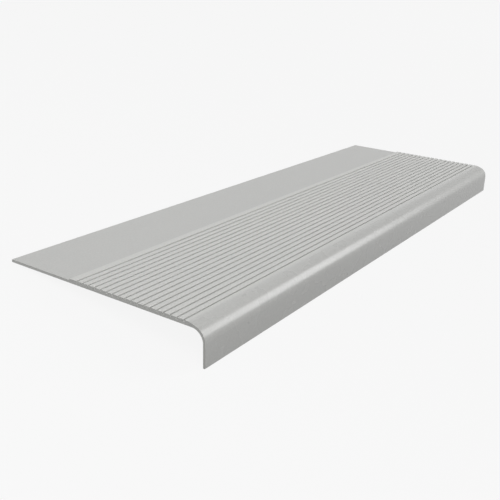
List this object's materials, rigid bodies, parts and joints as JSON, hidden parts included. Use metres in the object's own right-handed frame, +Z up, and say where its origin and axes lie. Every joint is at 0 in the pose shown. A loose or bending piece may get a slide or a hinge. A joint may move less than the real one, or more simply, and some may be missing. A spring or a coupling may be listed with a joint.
{
  "type": "rubber stair tread",
  "caption": "Ribbed rubber stair tread: a thin sheet with grooves along its front half and a rounded nosing whose lip turns down over the edge of the step.",
  "frame": {"origin": "centre of the bottom of the bounding box, on the level floor that the loose tread rests on", "axes": "+X along the edge of the step, -Y towards the nosing, +Y towards the back edge, +Z up"},
  "size_m": [0.9144, 0.3148, 0.0464],
  "materials": {
    "rubber": "light grey, matte with a faint satin sheen"
  },
  "bodies": {
    "root": {"tread": "rubber"}
  },
  "joints": []
}
